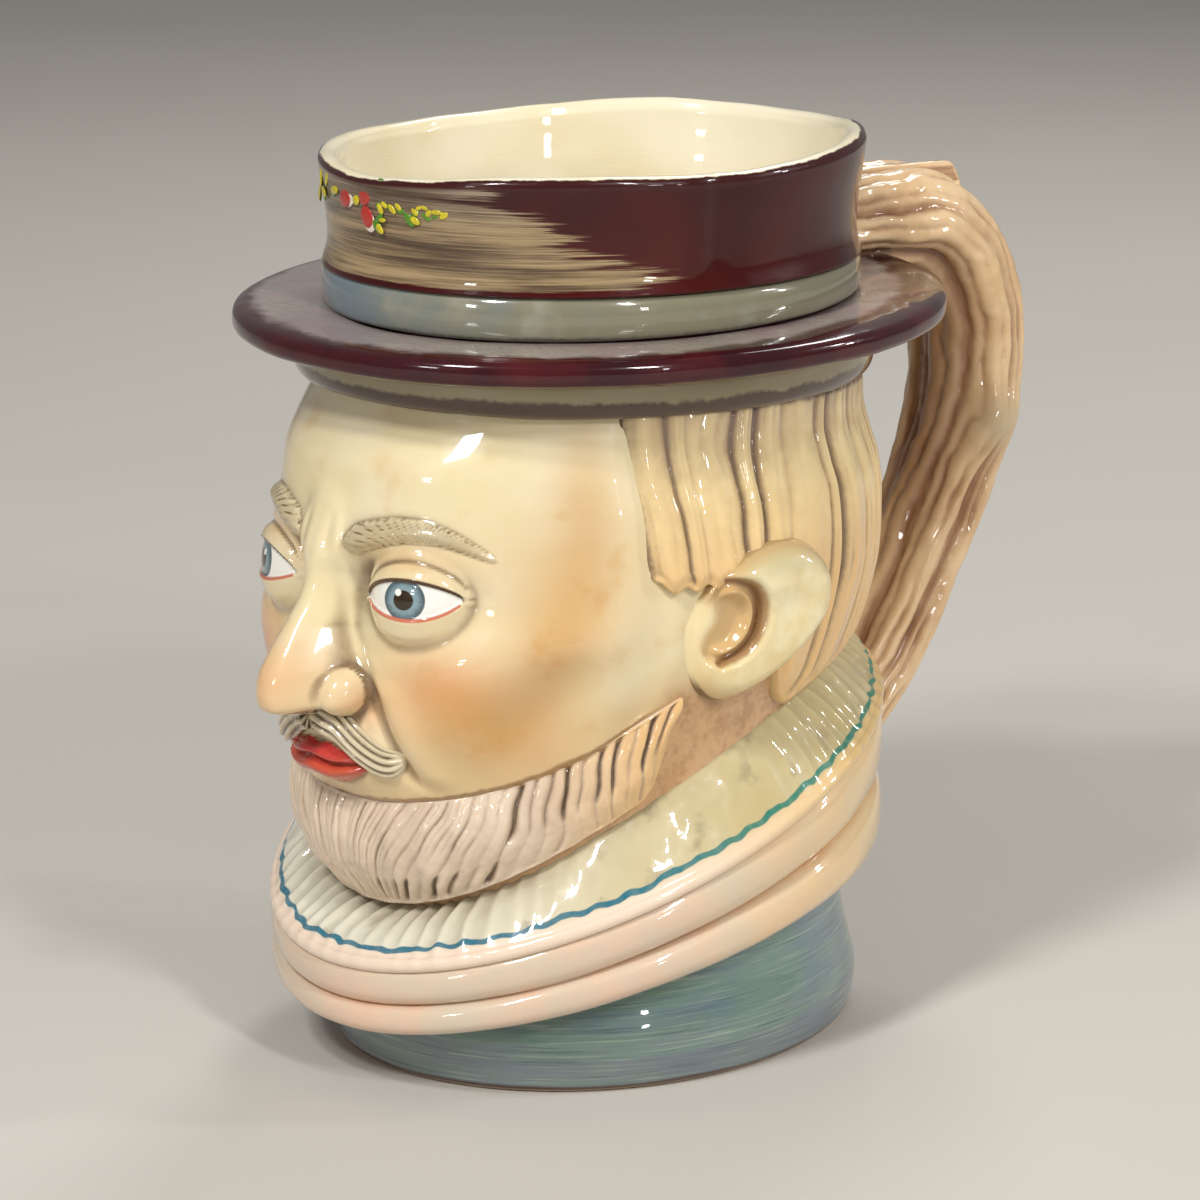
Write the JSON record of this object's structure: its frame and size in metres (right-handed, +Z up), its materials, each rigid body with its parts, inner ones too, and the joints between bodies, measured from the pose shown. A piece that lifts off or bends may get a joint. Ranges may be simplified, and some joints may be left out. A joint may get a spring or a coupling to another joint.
{
  "type": "glazed ceramic character mug",
  "caption": "Head-shaped drinking mug of glazed earthenware: bearded head in a flat-brimmed hat, pleated ruff, and a branch-shaped side handle.",
  "frame": {"origin": "centre of the flat, unglazed foot, on the surface that the mug stands on", "axes": "+Z up through the drinking rim, -Y out through the face, +Y out through the handle, +X towards the left ear"},
  "size_m": [0.13, 0.1979, 0.1821],
  "materials": {
    "coat_glaze": "gloss, slate blue-green brushed underglaze",
    "skin_glaze": "gloss, cream with peach washes",
    "plum_glaze": "high gloss, deep plum",
    "grey_glaze": "gloss, blue-grey",
    "olive_glaze": "gloss, olive grey",
    "hair_glaze": "gloss, taupe wash over cream",
    "ruff_glaze": "gloss, cream with grey washes",
    "collar_glaze": "gloss, pinkish cream",
    "branch_glaze": "satin, tan brown"
  },
  "bodies": {
    "root": {"coat_foot": "coat_glaze", "head_shell": "skin_glaze", "hat_crown": "plum_glaze", "hat_band": "grey_glaze", "hat_brim": "plum_glaze", "brow_band": "olive_glaze", "hair": "hair_glaze", "left_ear": "skin_glaze", "right_ear": "skin_glaze", "left_moustache": "hair_glaze", "right_moustache": "hair_glaze", "beard": "hair_glaze", "ruff": "ruff_glaze", "collar_upper_roll": "collar_glaze", "collar_lower_roll": "collar_glaze", "handle": "branch_glaze"}
  },
  "joints": []
}
